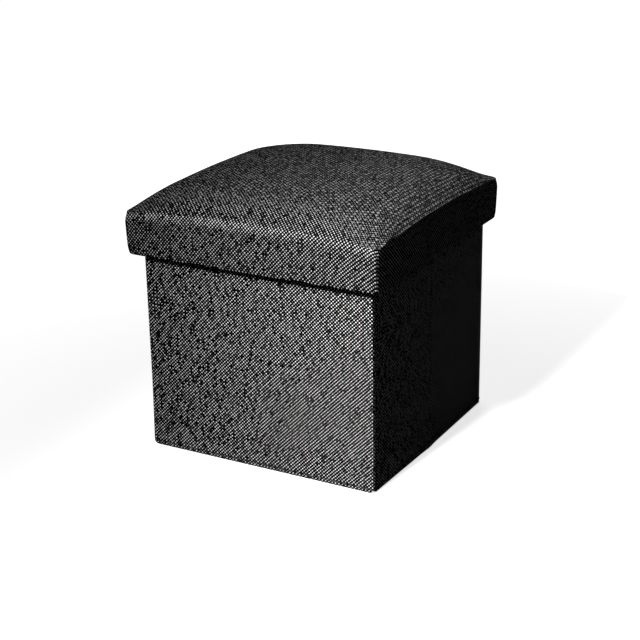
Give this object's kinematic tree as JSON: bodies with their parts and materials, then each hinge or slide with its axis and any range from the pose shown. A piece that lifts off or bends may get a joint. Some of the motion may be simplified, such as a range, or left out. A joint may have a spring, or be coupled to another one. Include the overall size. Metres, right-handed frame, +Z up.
{
  "type": "folding storage ottoman",
  "caption": "Small square fabric storage ottoman with a padded, crowned lift-off lid, a loose base board and walls that fold flat for storage.",
  "frame": {"origin": "on the floor, under the middle of the box", "axes": "+Z up, front faces -Y, +X to the right seen from the front"},
  "size_m": [0.31, 0.31, 0.3139],
  "materials": {
    "charcoal_weave": "matte",
    "black_nonwoven": "matte",
    "black_tape": "matte",
    "black_ribbon": "satin",
    "staple_wire": "satin",
    "cushion_foam": "matte",
    "lid_fibreboard": "matte",
    "wall_hardboard": "matte"
  },
  "bodies": {
    "back_wall": {"back_wall_board": "wall_hardboard", "back_wall_cover": "charcoal_weave", "back_wall_lining": "black_nonwoven", "bottom_hem": "charcoal_weave", "floor_cloth": "black_nonwoven", "back_left_corner_tape": "black_tape", "back_right_corner_tape": "black_tape"},
    "left_back": {"left_back_board": "wall_hardboard", "left_back_cover": "charcoal_weave", "left_back_lining": "black_nonwoven"},
    "left_front": {"left_front_board": "wall_hardboard", "left_front_cover": "charcoal_weave", "left_front_lining": "black_nonwoven"},
    "front_wall": {"front_wall_board": "wall_hardboard", "front_wall_cover": "charcoal_weave", "front_wall_lining": "black_nonwoven", "front_left_corner_tape": "black_tape", "front_right_corner_tape": "black_tape"},
    "right_back": {"right_back_board": "wall_hardboard", "right_back_cover": "charcoal_weave", "right_back_lining": "black_nonwoven"},
    "right_front": {"right_front_board": "wall_hardboard", "right_front_cover": "charcoal_weave", "right_front_lining": "black_nonwoven"},
    "base": {"base_board": "wall_hardboard", "base_wrap": "black_nonwoven", "base_pull_tab": "black_ribbon"},
    "lid": {"lid_board": "lid_fibreboard", "lid_rim_front": "lid_fibreboard", "lid_rim_back": "lid_fibreboard", "lid_rim_left": "lid_fibreboard", "lid_rim_right": "lid_fibreboard", "lid_rim_padding": "cushion_foam", "lid_foam": "cushion_foam", "lid_cover": "charcoal_weave", "lid_lining": "black_nonwoven", "lid_staples": "staple_wire"}
  },
  "joints": [
    {"name": "wall_fold", "type": "hinge", "parent": "back_wall", "child": "left_back", "pos_m": [-0.1367, 0.1367, 0.136], "axis": [0, 0, 1], "range_deg": [0, 90], "deforming": ["bottom_hem", "floor_cloth", "front_left_corner_tape", "back_left_corner_tape", "front_right_corner_tape", "back_right_corner_tape"]},
    {"name": "left_crease", "type": "hinge", "parent": "left_back", "child": "left_front", "pos_m": [-0.1423, 0, 0.136], "axis": [0, 0, 1], "range_deg": [-180, 0]},
    {"name": "front_left_corner", "type": "hinge", "parent": "left_front", "child": "front_wall", "pos_m": [-0.1367, -0.1367, 0.136], "axis": [0, 0, 1], "range_deg": [0, 90]},
    {"name": "back_right_corner", "type": "hinge", "parent": "back_wall", "child": "right_back", "pos_m": [0.1367, 0.1367, 0.136], "axis": [0, 0, 1], "range_deg": [-90, 0]},
    {"name": "right_crease", "type": "hinge", "parent": "right_back", "child": "right_front", "pos_m": [0.1423, 0, 0.136], "axis": [0, 0, 1], "range_deg": [0, 180]},
    {"name": "lid_lift", "type": "slide", "parent": "back_wall", "child": "lid", "axis": [0, 0, 1], "range_m": [0, 0.45]},
    {"name": "base_lift", "type": "slide", "parent": "back_wall", "child": "base", "axis": [0, 0, 1], "range_m": [0, 0.36]}
  ],
  "couplings": [
    {"joint": "left_crease", "follows": "wall_fold", "ratio": -2},
    {"joint": "front_left_corner", "follows": "wall_fold", "ratio": 1},
    {"joint": "back_right_corner", "follows": "wall_fold", "ratio": -1},
    {"joint": "right_crease", "follows": "wall_fold", "ratio": 2},
    {"joint": "base_lift", "follows": "lid_lift", "ratio": 0.8}
  ]
}
